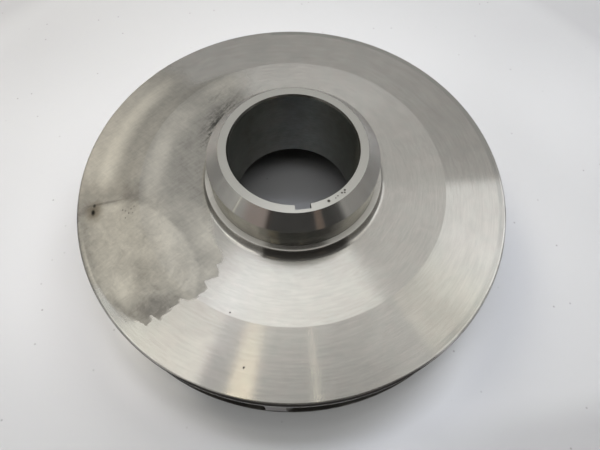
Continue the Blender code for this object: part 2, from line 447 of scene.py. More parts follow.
# %% The tone of the patch
BASE_TONE = 0.23
HARD_EDGE = 0.1
SPOTS = (
    # azimuth, radius, half length, half width, softness, change of tone
    (-107, 80, 15, 4.5, 0.9, 0.18),
    (-90, 92, 8, 5, 0.8, -0.22),
    (-141, 83, 9, 8, 0.8, -0.16),
    (-100, 91, 15, 3, 0.3, 0.10),
    (-89, 112, 9, 7, 0.8, -0.03),
    (-88.6, 108, 0.7, 9, 0.6, -0.26),
    (-86.0, 105, 2.5, 6, 0.6, 0.16),
    (-63.5, 107, 47, 36, 0.05, 0.24),
    (-75, 79, 17, 4.5, 0.8, 0.16),
    (-64, 80, 10, 6, 0.9, 0.08),
    (-60.5, 110.5, 6, 5, 0.9, 0.28),
    (-63, 104, 10, 6, 0.8, -0.08),
    (-73, 92, 6, 6, 0.8, -0.14),
    (-59, 97, 9, 6, 0.8, -0.20),
    (-53, 111, 9, 9, 0.8, -0.28),
    (-48, 102, 9, 9, 0.8, -0.32),
    (-57, 57, 14, 7, 0.9, 0.40),
    (-48, 68, 9, 10, 0.9, 0.14),
    (-44, 74, 6, 6, 0.9, 0.14),
    (-53, 76, 7, 5, 0.9, -0.14),
    (-60, 70, 8, 6, 0.9, 0.12),
    (-78, 67, 9, 8, 0.9, 0.14),
    (-74, 97, 12, 8, 0.9, 0.08),
    (-124, 92, 24, 5, 0.9, 0.12),
    (-59, 118.5, 9, 2.5, 0.8, -0.20),
    (-80, 117, 40, 2.5, 0.8, -0.14),
)


def patch_grain(place):
    """The patch's fine texture: mottling, strongest in the lobe, and strokes in two directions."""
    mottle = place.cloud(7, 6.0, 0.75, 0.8, seed=90.0) - 0.5
    grain = place.cloud(2.2, 4.0, 0.7, seed=95.0) - 0.5
    fuzz = place.strokes(STROKE_HEADING + 10, 1.3, 10.0, 4.0, seed=5.0) - 0.5
    cross = place.strokes(STROKE_HEADING - 70, 1.6, 12.0, 4.0, seed=15.0) - 0.5
    lively = place.azimuth.step(-92, -82) * place.radius.step(66, 84) * 0.40 + 0.40
    return (mottle + grain * 0.25) * lively + fuzz * 0.26 + cross * 0.2


def patch_tone(place):
    """0 for the darkest grey of the patch and 1 for the palest."""
    wobble = (place.cloud(11, 4.0, 0.6, 0.4, seed=55.0) - 0.5) * 0.9
    crisp = (place.cloud(9, 4.0, 0.6, seed=75.0) - 0.5) * 0.12
    ridge = place.radius.between(70, 80, 82, 91) * place.azimuth.step(-82, -92)
    glow = place.radius.step(98, 110) * (place.radius.step(111, 117) * -0.35 + 1)
    glow = glow * (place.azimuth + wobble * 20).step(-88, -101) * place.azimuth.step(-150, -128)
    border = (place.azimuth - near_edge(place)).step(-8, 0) * place.radius.step(84, 92)
    lip = place.radius.step(117, 121) * place.azimuth.between(-92, -83, -74, -62)
    line = place.radius.between(121.4, 122.0, 122.6, 123.2) * place.azimuth.step(-84, -70)
    tone = patch_grain(place) + BASE_TONE + place.radius.step(68, 78) * 0.08
    tone = tone - border * 0.14 - lip * 0.26 + line * 0.25
    tone = tone + ridge * 0.18 + glow * 0.62
    for azimuth, radius, along, across, soft, change in SPOTS:
        uneven = crisp if soft < HARD_EDGE else wobble
        tone = tone + place.blob(azimuth, radius, along, across, soft, uneven) * change
    return tone


print("the patch has", len(SPOTS), "spots")

# %% [markdown]
# Dirt and small casting pits lie over both finishes: a smear behind the hub where a glove or a brush
# dragged along the collar, a few pits, and a brown stain round the largest one. Ovals draw all of them,
# and noise along the strokes breaks the smear up.

# %% Dirt and pits
SMEAR_HEADING = 48.0
SMEARS = (
    # azimuth, radius, half length, half width, how dark
    (-128, 57.5, 9, 3.0, 1.0), (-138, 61.5, 11, 3.5, 1.0), (-147, 65.0, 13, 4.0, 0.7),
    (-158, 69.5, 12, 3.0, 0.35), (-150, 76.0, 9, 4.0, 0.35),
)
PITS = (
    # azimuth, radius, half length, half width, how dark
    (-86.3, 115.0, 1.7, 1.0, 1.0), (-88.4, 114.3, 1.0, 0.8, 0.8), (-84.6, 98.0, 0.5, 0.4, 0.5),
    (-84.0, 96.4, 0.5, 0.4, 0.4), (-82.8, 94.8, 0.6, 0.4, 0.5), (-84.2, 93.2, 0.5, 0.5, 0.35),
    (-82.6, 92.6, 0.4, 0.4, 0.4), (-81.4, 97.0, 0.5, 0.3, 0.45), (-84.9, 91.4, 0.5, 0.4, 0.35),
    (-28.9, 86.9, 0.45, 0.4, 0.9), (-20.0, 110.0, 0.5, 0.6, 0.9),
)


def dirt(place):
    """(smear, stain, pits), each from 0 to 1."""
    drag = place.strokes(SMEAR_HEADING, 1.5, 9.0, 5.0, seed=21.0)
    grain = place.cloud(1.5, 4.0, 0.7, seed=31.0)
    rub = (drag * 0.6 + grain * 0.4).step(0.40, 0.60)
    stain = place.blob(-86.6, 114.5, 5, 4, 0.9, (place.cloud(4, seed=66.0) - 0.5) * 0.9)
    return place.blobs(SMEARS, 0.8) * rub, stain, place.blobs(PITS, 0.6)


print("there are", len(SMEARS), "smears and", len(PITS), "pits")

# %% [markdown]
# Three more marks sit on edges. The rim's upright edge is painted dark, a painted reflection of the
# dim room in front, and the dark reaches a little higher up in front. The collar's foot has painted
# shade, widest in front, and the collar's upper face is rubbed to an even, pale dullness, of which only
# the outer edge is left in front. On a turned piece radius and height alone find an edge, so each mark
# is a short product of soft steps.

# %% Marks on the edges
RIM_EDGE = 0.9
RIM_EDGE_RISE = 0.75


def rim_edge_shade(place):
    """1 on the rim's upright edge, which is painted dark as a painted reflection of the room in front."""
    top = place.azimuth.between(-40, -30, 16, 28) * RIM_EDGE_RISE + RIM_EDGE
    above_plane = place.z - RIM_PLANE / MM
    edge = (top - above_plane).step(-0.2, 0.2) * above_plane.step(-1.2, -0.8)
    return edge * place.radius.step(121, 122)


def collar_foot_shade(place):
    """How dark the painted shade in the collar's foot is."""
    ahead = place.azimuth.between(-29, -24, 24, 34) * place.radius.step(53.8, 53.0)
    beside = place.azimuth.between(-100, -80, 70, 90) * place.radius.step(52.2, 51.4)
    under_top = place.z.step(COLLAR_HEIGHT / MM - 0.3, COLLAR_HEIGHT / MM - 0.7)
    return (ahead * 0.88).math("MAXIMUM", beside * 0.45) * under_top


def rubbed_ledge(place):
    """1 where the collar's upper face is rubbed."""
    inner = place.azimuth.between(-28, -20, 8, 18) * place.radius.step(49.6, 49.0)
    ledge = place.radius.step(50.6, 50.2) * place.azimuth.between(-100, -80, 60, 80)
    on_top = place.z.step(COLLAR_HEIGHT / MM - 0.2, COLLAR_HEIGHT / MM - 0.05)
    return ledge * on_top * (1 - inner * 0.82)


print(f"the rim's dark edge reaches {RIM_EDGE:.2f} mm above the rim plane, and in front "
      f"{RIM_EDGE + RIM_EDGE_RISE:.2f} mm")

# %% [markdown]
# The turned face has painted light of its own. The rim on the right and the collar on the front left are
# painted paler, as painted highlights, and a darker ring just inside the rim is painted shade. All these
# masks now meet in one material.

# %% Faced steel, for the back shroud
STEEL_PAINTED_HIGHLIGHT = (0.95, 0.93, 0.91, 1)
STEEL_PAINTED_SHADE = (0.50, 0.49, 0.47, 1)
GROUND_PALE = (0.865, 0.825, 0.745, 1)
GROUND_DARK = (0.265, 0.255, 0.242, 1)
SMEAR_COLOUR = (0.10, 0.095, 0.088, 1)
STAIN_COLOUR = (0.17, 0.135, 0.09, 1)
RUST_COLOUR = (0.42, 0.30, 0.14, 1)
PIT_COLOUR = (0.03, 0.028, 0.024, 1)
EDGE_COLOUR = (0.035, 0.030, 0.028, 1)
LEDGE_COLOUR = (0.93, 0.90, 0.86, 1)
LEDGE_SHARE = 0.80


def faced_tone(place):
    """The brighter colour of the plate's turned face, with its painted highlights and its painted shade ring.
    """
    # painted highlights on the rim at the right and on the collar at the front left
    rim = place.radius.step(123.0, 123.6) * place.azimuth.between(18, 34, 84, 100)
    collar = place.radius.step(50.7, 50.3) * place.azimuth.between(-60, -50, -32, -24)
    # painted shade: a darker ring just inside the rim on the right
    shade_ring = place.radius.between(119.8, 121.0, 122.8, 123.4) * place.azimuth.step(18, 34)
    return shade_ring.mix(rim.math("MAXIMUM", collar).mix(STEEL, STEEL_PAINTED_HIGHLIGHT), STEEL_PAINTED_SHADE)


def faced_steel():
    """The turned face, with the ground patch, the dirt, the rubbed ledge and the painted shade on the edges
    in matte steel.
    """
    material, wires = start_finish("faced_steel")
    place = Place(wires)
    smear, stain, pits = dirt(place)
    edge = rim_edge_shade(place).math("MAXIMUM", collar_foot_shade(place))
    ledge = rubbed_ledge(place)
    dirt_wear_and_painted_shade = (smear + stain * 0.6 + pits + edge + ledge * LEDGE_SHARE).math("MINIMUM", 1.0)
    turned = turned_coat(place, faced_tone(place), STEEL_DULL)
    fuzz = place.strokes(STROKE_HEADING + 12, 1.2, 9.0, 4.0, seed=5.0)
    rust = place.blob(-72, 104, 48, 22, 0.7, (place.cloud(14, 4.0, seed=46.0) - 0.5) * 1.2)
    colour = patch_tone(place).mix(GROUND_DARK, GROUND_PALE)
    colour = (rust * 0.10).mix(colour, RUST_COLOUR)
    colour = (stain * 0.75).mix(colour, STAIN_COLOUR)
    colour = smear.mix(colour, SMEAR_COLOUR)
    colour = pits.mix(colour, PIT_COLOUR)
    colour = ledge.mix(colour, LEDGE_COLOUR)
    # painted shade: the rim's dark edge and the collar's foot
    colour = edge.mix(colour, EDGE_COLOUR)
    matte = wires.node("ShaderNodeBsdfPrincipled", None, {
        "Base Color": colour,
        "Metallic": 1 - edge - ledge * LEDGE_SHARE,
        "Roughness": fuzz * 0.16 + 0.40 + edge * 0.40,
        "Normal": bump_of(wires, fuzz - pits * 12, 0.015),
    })
    shader = wires.node("ShaderNodeMixShader", None, {
        0: ground_patch(place).math("MAXIMUM", dirt_wear_and_painted_shade), 1: turned, 2: matte})
    return end_finish(material, wires, shader)


FACED = faced_steel()

# %% [markdown]
# ## Cast steel
#
# The passages were never machined. They keep the skin of the mould: blasted, dull and dark, with a fine
# grain, and their dark is partly painted shade, which keeps the passages dim. Displacement could model
# the grain, but in a dark slot a Bump node shows it as well. Only the vanes' tips are brighter, where the
# lathe cut them with the rim.

# %% Cast steel, for the vanes and the passages
CAST_DARK = (0.065, 0.062, 0.056, 1)
CAST_PALE = (0.125, 0.118, 0.107, 1)
TIP_STEEL = (0.28, 0.27, 0.26, 1)


def cast_steel():
    """Dull blasted steel, brighter on the rim between the two shrouds."""
    material, wires = start_finish("cast_steel")
    place = Place(wires)
    grain = place.cloud(1.1, 5.0, 0.65)
    skin = place.cloud(17, 4.0, 0.6, seed=30.0).step(0.35, 0.7).mix(CAST_DARK, CAST_PALE)
    floor, roof = OUTLET_LOW / MM, (RIM_PLANE - BACK_LAND) / MM
    tip = place.radius.step(RIM_RADIUS / MM - 0.5, RIM_RADIUS / MM - 0.2)
    tip = tip * place.z.between(floor + 0.4, floor + 0.9, roof - 0.9, roof - 0.4)
    shader = wires.node("ShaderNodeBsdfPrincipled", None, {
        "Base Color": tip.mix(skin, TIP_STEEL),
        "Metallic": 1.0,
        "Roughness": grain * 0.2 + 0.5,
        "Normal": bump_of(wires, grain, 0.15),
    })
    return end_finish(material, wires, shader)


CAST = cast_steel()

# %% [markdown]
# ## Outlines with real rounds
#
# A sharp corner never catches the light. Each outline is a list of corners with a radius, and the helper
# puts an arc at each one, with two extra rings beside it so that the flats stay flat when shaded smooth.
# Bevel and Screw modifiers could do both jobs. Done here, each corner's radius stands in the list, and
# each band of faces gets a finish of its own.


# %% Outline and turning helpers
SUPPORT = 0.12 * MM
SHARP_ANGLE = math.radians(40)


def rounded(corners, steps=6):
    """A closed outline of (radius, height) points from (radius, height, corner radius) corners."""
    points = []
    count = len(corners)
    for index, (r, z, size) in enumerate(corners):
        here = np.array((r, z))
        before = np.array(corners[index - 1][:2]) - here
        after = np.array(corners[(index + 1) % count][:2]) - here
        if size <= 0:
            points.append((r, z))
            continue
        before, after = before / np.linalg.norm(before), after / np.linalg.norm(after)
        half = math.acos(np.clip(before @ after, -1, 1)) / 2
        reach = size / math.tan(half)
        start, end = here + before * reach, here + after * reach
        middle = (before + after) / np.linalg.norm(before + after) * size / math.sin(half) + here
        points.append(tuple(start + before * SUPPORT))
        sweep = [start - middle, end - middle]
        swing = math.atan2(np.cross(sweep[0], sweep[1]), sweep[0] @ sweep[1])
        for step in range(steps + 1):
            angle = swing * step / steps
            spin = np.array(((math.cos(angle), -math.sin(angle)), (math.sin(angle), math.cos(angle))))
            points.append(tuple(middle + spin @ sweep[0]))
        points.append(tuple(end + after * SUPPORT))
    return points


def bend(start, control, end, steps):
    """Points of a quadratic curve in the section, from start to end, pulled towards control."""
    start, control, end = map(np.array, (start, control, end))
    shares = [step / steps for step in range(steps + 1)]
    return [tuple((1 - t) ** 2 * start + 2 * t * (1 - t) * control + t * t * end) for t in shares]


def add_object(name, data):
    """A new object with this data, in the scene."""
    thing = bpy.data.objects.new(name, data)
    bpy.context.scene.collection.objects.link(thing)
    return thing


def turn(name, outline, finish_of, steps=288):
    """A closed ring turned from an outline. finish_of gives each band of faces its material's number."""
    rows = len(outline)
    angles = np.arange(steps) * math.tau / steps
    section = np.array(outline)
    grid = np.stack([
        section[:, None, 0] * np.sin(angles),
        -section[:, None, 0] * np.cos(angles),
        np.repeat(section[:, None, 1], steps, axis=1),
    ], axis=-1)
    faces = []
    for row in range(rows):
        under = (row + 1) % rows
        for column in range(steps):
            beside = (column + 1) % steps
            faces.append((row * steps + column, under * steps + column,
                          under * steps + beside, row * steps + beside))
    mesh = bpy.data.meshes.new(name)
    mesh.from_pydata(grid.reshape(-1, 3).tolist(), [], faces)
    numbers = [finish_of(*(section[row] + section[(row + 1) % rows]) / 2) for row in range(rows)]
    mesh.polygons.foreach_set("material_index", np.repeat(numbers, steps))
    mesh.shade_smooth()
    mesh.set_sharp_from_angle(angle=SHARP_ANGLE)
    return add_object(name, mesh)


def dress(piece, slot, finishes, *nodes):
    """Gives a piece its finishes, hangs it on the body and hides the model nodes that it stands for."""
    if not piece.data.materials:
        for finish in finishes:
            piece.data.materials.append(finish)
    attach(piece, "root")
    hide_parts(*nodes)
    print(piece.name, len(piece.data.polygons), "faces")


# %% [markdown]
# ## The hub
#
# The hub is a thick sleeve: a narrow end face, a wide chamfer, a plain band down to the collar and a nose
# inside the eye. One outline turns all of that. It can't hold the keyway, which isn't round, so a Boolean
# cuts the keyway afterwards, as a broach would.

# %% Turn the hub and cut the keyway
NOSE_BEND = (41.5 * MM, RIM_PLANE - 10.6 * MM)
nose = bend((HUB_RADIUS, HUB_JOIN), NOSE_BEND, (NOSE_RADIUS, NOSE_HEIGHT), 10)
hub_outline = rounded([
    (BORE_RADIUS, HUB_TOP - BORE_LEAD_DEPTH, 0.3 * MM),
    (BORE_RADIUS + BORE_LEAD, HUB_TOP, 0.12 * MM),
    (HUB_FACE_RADIUS, HUB_TOP, 0.25 * MM),
    (HUB_RADIUS, HUB_CHAMFER_FOOT, 0.3 * MM),
    *[(r, z, 0) for r, z in nose[:-1]],
    (*nose[-1], 0.8 * MM),
    (BORE_RADIUS, NOSE_HEIGHT, 0.45 * MM),
])
HUB_FINISHES = (TURNED, CAST, BORED, END_FACE)


def hub_finish(radius, height):
    """Bored inside, ground on the end face, cast on the nose and turned elsewhere."""
    if radius < BORE_RADIUS + 0.1 * MM:
        return HUB_FINISHES.index(BORED)
    if height > HUB_TOP - 0.05 * MM:
        return HUB_FINISHES.index(END_FACE)
    return HUB_FINISHES.index(CAST if height < HUB_JOIN - MM else TURNED)


hub = turn("hub_turned", hub_outline, hub_finish)
bpy.ops.mesh.primitive_cube_add(size=1)
broach = bpy.context.object
broach.name = "broach"
reach = BORE_RADIUS + KEYWAY_DEPTH
broach.data.transform(Matrix.Diagonal((KEYWAY_WIDTH, reach / 2, 3 * (HUB_TOP - NOSE_HEIGHT), 1)))
broach.location = (0, -reach * 0.75, (HUB_TOP + NOSE_HEIGHT) / 2)
broach.data.materials.append(BORED)
cut = hub.modifiers.new("keyway", "BOOLEAN")
cut.object = broach
cut.operation = "DIFFERENCE"
cut.material_mode = "TRANSFER"
for finish in HUB_FINISHES:
    hub.data.materials.append(finish)
bpy.context.view_layer.update()
graph = bpy.context.evaluated_depsgraph_get()
cut_mesh = bpy.data.meshes.new_from_object(hub.evaluated_get(graph))
hub.modifiers.clear()
hub.data = cut_mesh
hub.data.set_sharp_from_angle(angle=SHARP_ANGLE)
bpy.data.objects.remove(broach)
dress(hub, "turned_steel", HUB_FINISHES, "hub")

# %% [markdown]
# ## The back shroud
#
# The plate that faces up: a raised collar, a flat zone, and a coned zone out to a rounded rim. Its lower
# side is the roof of the water passages, and stays as cast. The collar could be a ring of its own, but
# no seam shows on the real plate, so both are turned from one outline.

# %% Turn the back shroud
ROOF_BEND = (70 * MM, RIM_PLANE - 3.6 * MM)
roof = bend((HUB_RADIUS, HUB_JOIN + 0.1 * MM), ROOF_BEND, (RIM_RADIUS, RIM_PLANE - BACK_LAND), 24)
RIM_CORNER_HEIGHT = RIM_PLANE + 1.6 * MM
back_outline = rounded([
    (HUB_RADIUS + 0.05 * MM, COLLAR_HEIGHT, 0.04 * MM),
    (COLLAR_RADIUS, COLLAR_HEIGHT, 0.5 * MM),
    (COLLAR_RADIUS, FLAT_HEIGHT, 3.0 * MM),
    (FLAT_RADIUS, FLAT_HEIGHT, 3 * MM),
    (RIM_RADIUS, RIM_CORNER_HEIGHT, 1.8 * MM),
    (RIM_RADIUS, RIM_PLANE - BACK_LAND, 0.25 * MM),
    *[(r, z, 0) for r, z in roof[-2::-1]],
])


def back_finish(radius, height):
    """Cast under the plate, turned everywhere else."""
    return int(height < RIM_PLANE - BACK_LAND + 0.02 * MM and radius < RIM_RADIUS - 0.3 * MM)


back = turn("back_shroud_turned", back_outline, back_finish, steps=360)
dress(back, "faced_steel", (FACED, CAST), "back_shroud")

# %% [markdown]
# ## The suction side
#
# The front shroud and its neck are one casting here, so that no seam shows where the model splits them.

# %% Turn the front shroud with its neck
floor_curve = bend((EYE_RADIUS, THROAT_HEIGHT), (EYE_RADIUS, THROAT_END_HEIGHT - 1.2 * MM),
                   (SHOULDER_RADIUS, THROAT_END_HEIGHT), 16)
front_low = OUTLET_LOW - FRONT_LAND
SHOULDER_HEIGHT = 12.6 * MM
SHOULDER_START = (94 * MM, RIM_PLANE - 33.4 * MM)
SHOULDER_BEND = (80.4 * MM, RIM_PLANE - 34.4 * MM)
shoulder_curve = bend(SHOULDER_START, SHOULDER_BEND, (SHOULDER_RADIUS, SHOULDER_HEIGHT + 1.2 * MM), 12)
front_outline = rounded([
    (RIM_RADIUS, OUTLET_LOW, 0.3 * MM),
    (RIM_RADIUS, front_low, 1.0 * MM),
    *[(r, z, 0) for r, z in shoulder_curve],
    (SHOULDER_RADIUS, SHOULDER_HEIGHT, 0.2 * MM),
    (NECK_RADIUS, SHOULDER_HEIGHT, 0),
    (NECK_RADIUS, 0, 0.3 * MM),
    (EYE_RADIUS, 0, 1.6 * MM),
    *[(r, z, 0) for r, z in floor_curve],
])


def front_finish(radius, height):
    """Cast in the passage and the eye, turned outside."""
    share = (radius - SHOULDER_RADIUS) / (RIM_RADIUS - SHOULDER_RADIUS)
    line = THROAT_END_HEIGHT + (OUTLET_LOW - THROAT_END_HEIGHT) * share
    passage = radius > SHOULDER_RADIUS and height > line - 0.3 * MM or radius > RIM_RADIUS - 0.1 * MM
    throat = radius < SHOULDER_RADIUS and height > THROAT_HEIGHT - MM and radius < height + 60 * MM
    return int(passage or throat)


front = turn("front_shroud_turned", front_outline, front_finish, steps=360)
dress(front, "faced_steel", (TURNED, CAST), "front_shroud", "suction_neck")

# %% [markdown]
# The wear ring sits on the neck, where the real one rubs against the casing. It is a plain turned ring
# with a chamfer below, and a hair wider inside than the neck.

# %% Turn the wear ring
RING_CHAMFER = 1.4 * MM
RING_BORE = NECK_RADIUS + 0.05 * MM
ring_outline = rounded([
    (RING_RADIUS, RING_HEIGHT, 0.3 * MM),
    (RING_RADIUS, RING_CHAMFER, 0.2 * MM),
    (RING_RADIUS - RING_CHAMFER, 0, 0.2 * MM),
    (RING_BORE, 0, 0.2 * MM),
    (RING_BORE, RING_HEIGHT, 0),
])
ring = turn("wear_ring_turned", ring_outline, lambda r, z: 0)
dress(ring, "turned_steel", (TURNED,), "wear_ring")

# %% [markdown]
# ## The vanes
#
# Each vane follows a curve that keeps a small, slowly growing angle to the rim, so that it sweeps back
# through a third of a turn. A bent strip with a Solidify modifier would meet the shrouds in hard lines,
# so the vane is lofted in rows from roof to floor, and swells into a fillet at both.

# %% Vane sizes
VANES = 7
FIRST_TIP = math.radians(-11.6)
VANE_THICKNESS = 4.2 * MM
INLET_ANGLE = math.radians(20)
OUTLET_ANGLE = math.radians(25)
INLET_AT_HUB = 51 * MM
INLET_AT_FRONT = 69 * MM
VANE_NOSE = 6 * MM
ROOT_ROUND = 2.4 * MM
ROOT_DEPTH = 0.25 * MM
NOSE_STEPS = 7
SIDE_STEPS = 34
VANE_SHARP_ANGLE = math.radians(50)


def blade_angle(radius):
    """The angle between the vane and the rim's direction at a radius."""
    share = (radius - INLET_AT_HUB) / (RIM_RADIUS - INLET_AT_HUB)
    return INLET_ANGLE + (OUTLET_ANGLE - INLET_ANGLE) * share


def sweep_from_tip(radius, steps=40):
    """How far round the vane's middle line has run, from its tip in to a radius."""
    middles = radius + (np.arange(steps) + 0.5) * (RIM_RADIUS - radius) / steps
    return float(np.sum((RIM_RADIUS - radius) / steps / (middles * np.tan(blade_angle(middles)))))


def height_on(curve, radius):
    """The height of a passage wall at a radius."""
    points = np.array(sorted(curve))
    return float(np.interp(radius, points[:, 0], points[:, 1]))


# %% Loft one vane and copy it round
passage_floor = floor_curve + [(RIM_RADIUS, OUTLET_LOW)]
ROW_SHARES = [0, 0.02, 0.05, 0.10, 0.2, 0.35, 0.5, 0.65, 0.8, 0.90, 0.95, 0.98, 1]


def vane_row(share):
    """The closed outline of the vane at one share of the way from roof to floor.

    It is full thickness from the end of its rounded nose out to the rim.
    """
    inlet = INLET_AT_HUB + (INLET_AT_FRONT - INLET_AT_HUB) * share
    nose = inlet + VANE_NOSE * math.sin(INLET_ANGLE)
    fullness = [(inlet + (nose - inlet) * s, math.sqrt(s * (2 - s)))
                for s in (1 - math.cos(math.pi / 2 * k / NOSE_STEPS) for k in range(NOSE_STEPS))]
    fullness += [(nose + (RIM_RADIUS - nose) * k / SIDE_STEPS, 1.0) for k in range(SIDE_STEPS + 1)]
    sides = ([], [])
    for radius, full in fullness:
        roof_here = height_on(roof, radius) + ROOT_DEPTH
        floor_here = height_on(passage_floor, radius) - ROOT_DEPTH
        height = roof_here + (floor_here - roof_here) * share
        near = min(roof_here - height, height - floor_here)
        swell = 0.0
        if near < ROOT_ROUND:
            swell = ROOT_ROUND - math.sqrt(ROOT_ROUND ** 2 - (ROOT_ROUND - near) ** 2)
        half = (VANE_THICKNESS / 2 + swell) * full / (radius * math.sin(blade_angle(radius)))
        middle = sweep_from_tip(radius)
        for side, sign in zip(sides, (1, -1)):
            azimuth = middle + sign * half
            side.append((radius * math.sin(azimuth), -radius * math.cos(azimuth), height))
    return sides[0][::-1] + sides[1][1:]


def loft_vane():
    """One vane: its rows joined by faces, with a cap at the roof and one at the floor."""
    shell = bmesh.new()
    rows = [[shell.verts.new(point) for point in vane_row(share)] for share in ROW_SHARES]
    count = len(rows[0])
    for upper, lower in zip(rows, rows[1:]):
        for index in range(count):
            after = (index + 1) % count
            shell.faces.new((upper[index], upper[after], lower[after], lower[index]))
    for row in (rows[0], rows[-1]):
        for index in range((count - 1) // 2):
            corners = (row[index], row[index + 1], row[-2 - index], row[-1 - index])
            shell.faces.new(tuple(dict.fromkeys(corners)))
    bmesh.ops.recalc_face_normals(shell, faces=shell.faces)
    mesh = bpy.data.meshes.new("vane_cast")
    shell.to_mesh(mesh)
    shell.free()
    mesh.shade_smooth()
    mesh.set_sharp_from_angle(angle=VANE_SHARP_ANGLE)
    return mesh


vane_mesh = loft_vane()
for number in range(VANES):
    mesh = vane_mesh.copy()
    mesh.transform(Matrix.Rotation(FIRST_TIP + number * math.tau / VANES, 4, "Z"))
    vane = add_object(f"vane_{number + 1}_cast", mesh)
    dress(vane, "cast_steel", (CAST,), f"vane_{number + 1}")

# %% [markdown]
# ## Bench and room
#
# A pale bench, and a plain room. The bench's tone holds painted light and shade: duller far out, paler
# near the rim in front, with a few broad pools of painted light and shade. Some dark specks are dirt.

# %% The tone of the bench
BENCH_PALE = (0.52, 0.5225, 0.527, 1)
BENCH_SHADE = (0.30, 0.301, 0.303, 1)
BENCH_PAINTED_GLINT = (0.70, 0.70, 0.70, 1)
SPECK_COLOUR = (0.10, 0.09, 0.08, 1)
SPECK_SPACING = 20
BENCH_LIGHT_POOLS = (
    # azimuth, radius, half length, half width, change of painted shade
    (-70, 162, 75, 42, -0.32), (-46, 174, 70, 34, 0.24), (-112, 215, 70, 50, -0.14),
    (20, 156, 38, 30, -0.22), (105, 165, 60, 30, 0.13), (105, 262, 60, 45, -0.17),
)


def bench_painted_shade(place):
    """The painted light and shade on the bench, from 0 for the palest to 1 for the dullest."""
    dull = place.radius.step(100, 300) * 0.51 + place.radius.step(300, 345) * 0.35 + 0.32
    # painted light that lifts the bench's shade near the rim in front
    rim_light_lift = place.radius.step(157, 137) * (place.radius.step(127, 138) * 0.85 + 0.15)
    dull = dull - rim_light_lift * place.azimuth.between(-75, -45, 30, 64) * 0.48
    dull = dull - place.x.step(-180, -260) * 0.13 + place.y.step(-170, -260) * 0.13
    dull = dull + place.y.step(-130, -155) * place.x.step(35, 68) * 0.36
    for azimuth, radius, along, across, change in BENCH_LIGHT_POOLS:
        dull = dull + place.blob(azimuth, radius, along, across, 0.8) * change
    return dull


def bench_specks(place):
    """1 on the specks, one at most in each cell of a Voronoi pattern."""
    flat, cells = {"voronoi_dimensions": "2D"}, {"Vector": place.spot, "Scale": 1 / SPECK_SPACING}
    to_speck, luck = (place.wires.node("ShaderNodeTexVoronoi", flat, cells, output) for output in (0, 1))
    return to_speck.step(0.045, 0.015) * luck.step(0.60, 0.85)


def pale_bench():
    """The bench's matte paint, with painted light and shade, and a painted highlight near the rim on the
    left.
    """
    material, wires = start_finish("pale_bench")
    place = Place(wires)
    # a painted highlight near the rim on the left
    painted_glint = place.radius.step(137, 126) * place.azimuth.between(-72, -60, -40, -27)
    pale = painted_glint.mix(bench_painted_shade(place).mix(BENCH_PALE, BENCH_SHADE), BENCH_PAINTED_GLINT)
    paint = wires.node("ShaderNodeBsdfPrincipled", None, {
        "Base Color": (bench_specks(place) * 0.5).mix(pale, SPECK_COLOUR), "Roughness": 0.7})
    return end_finish(material, wires, paint)


# %% The bench
BENCH_HALF = 9
bench_mesh = bpy.data.meshes.new("bench")
bench_corners = [(x * BENCH_HALF, y * BENCH_HALF, 0) for x, y in ((-1, -1), (1, -1), (1, 1), (-1, 1))]
bench_mesh.from_pydata(bench_corners, [], [(0, 1, 2, 3)])
bench_mesh.materials.append(pale_bench())
bench_top = add_object("bench", bench_mesh)

# %% [markdown]
# The room is a gradient, darker low down, with dimmer walls at the left, the right and the back.
# In front is a dark wedge of it, which the hub's chamfer and the collar's wall mirror, and a narrow brown
# band stands upright in that wedge. The camera is a little to one side of the keyway, so front, back,
# left and right are the camera's own below.

# %% Directions in the room
FRONT = math.radians(-7.7)
SPIN = Matrix.Rotation(FRONT, 4, "Z")
world = bpy.data.worlds.new("room")
bpy.context.scene.world = world
world.use_nodes = True
world.node_tree.nodes.clear()
room = Wire(world.node_tree)
looking = room.node("ShaderNodeTexCoord")


def camera_way(azimuth):
    """A level unit vector at an azimuth that is counted from the camera's side of the impeller."""
    angle = math.radians(azimuth)
    return SPIN @ Vector((math.sin(angle), -math.cos(angle), 0))


def toward(vector):
    """How far the looked-at direction points along a unit vector, from -1 to 1."""
    return room.node("ShaderNodeVectorMath", {"operation": "DOT_PRODUCT"}, {0: looking, 1: vector}, output=1)


# %% The room
WEDGE_LEFT, WEDGE_RIGHT = -30, 57
BROWN_WAY = 29
ROOM_COLOUR = (1.0, 1.0, 0.97, 1)
BROWN_COLOUR = (1.0, 0.76, 0.62, 1)

from_left = toward(camera_way(WEDGE_LEFT + 90)).step(-0.05, 0.05)
from_right = toward(camera_way(WEDGE_RIGHT - 90)).step(-0.05, 0.05)
ahead = toward(camera_way((WEDGE_LEFT + WEDGE_RIGHT) / 2)).step(0.20, 0.32)
wedge = from_left * from_right * ahead

height = toward(Vector((0, 0, 1)))
rearward = toward(camera_way(180))
left_wall = toward(camera_way(-75)).step(0.1, 0.3) * height.step(0.5, 0.75)
back_wall = rearward.between(0.40, 0.60, 0.76, 0.88)
right_wall = toward(camera_way(115)).step(0.45, 0.75)
off_brown = toward(camera_way(BROWN_WAY - 90)).math("ABSOLUTE")
brown = off_brown.step(0.085, 0.05) * toward(camera_way(BROWN_WAY)).step(0.78, 0.84)

glow = (height * 0.66 + 0.12).math("MINIMUM", 0.64)
glow = glow * (1 - left_wall * 0.4) * (1 - back_wall * 0.14) * (1 - right_wall * 0.05)
glow = glow * (1 - wedge * 0.9) + brown * 0.15
backdrop = room.node("ShaderNodeBackground", None, {
    "Color": brown.mix(ROOM_COLOUR, BROWN_COLOUR), "Strength": glow})
room.node("ShaderNodeOutputWorld", None, {"Surface": backdrop})
print("the room has", len(world.node_tree.nodes), "nodes")

# %% [markdown]
# ## Lamps
#
# Each soft lamp shows on a turned face as a wedge, and its two long sides as the wedge's two straight
# edges. So a lamp is placed by the wedge that it should make: the azimuth of the wedge's edge, and how
# far the lamp reaches round the axis and outward from it, as parts of a unit sphere seen from above.

# %% The lamps
LAMP_DISTANCE = 6.0
WATTS_FOR_GLOW = 4


